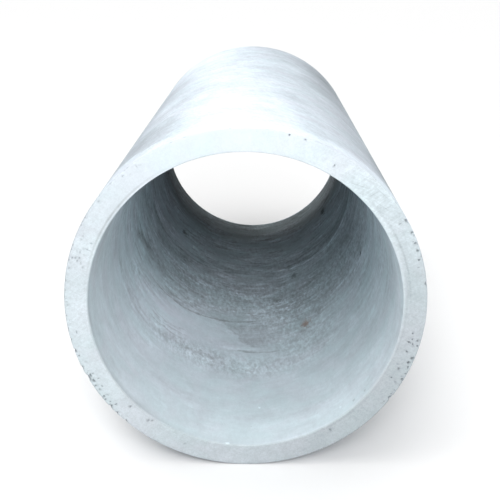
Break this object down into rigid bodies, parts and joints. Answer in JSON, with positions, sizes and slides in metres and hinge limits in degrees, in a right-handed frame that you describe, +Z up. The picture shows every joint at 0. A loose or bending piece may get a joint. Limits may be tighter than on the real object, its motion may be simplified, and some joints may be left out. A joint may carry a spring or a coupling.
{
  "type": "concrete sewer pipe",
  "caption": "Straight plain-ended concrete sewer pipe lying on its side: a round spun tube, open right through, with rounded end edges, butted to the next pipe under a collar.",
  "frame": {"origin": "on the ground, under the middle of the pipe's length", "axes": "+Y along the pipe's axis, from the end the picture shows to the far end; +Z up; +X to the right as seen from the near end"},
  "size_m": [1.1498, 2.5, 1.1499],
  "materials": {
    "concrete": "matt, pale grey spun concrete, smooth in the bore and pitted along the outer arris"
  },
  "bodies": {
    "root": {"concrete_pipe": "concrete"}
  },
  "joints": []
}
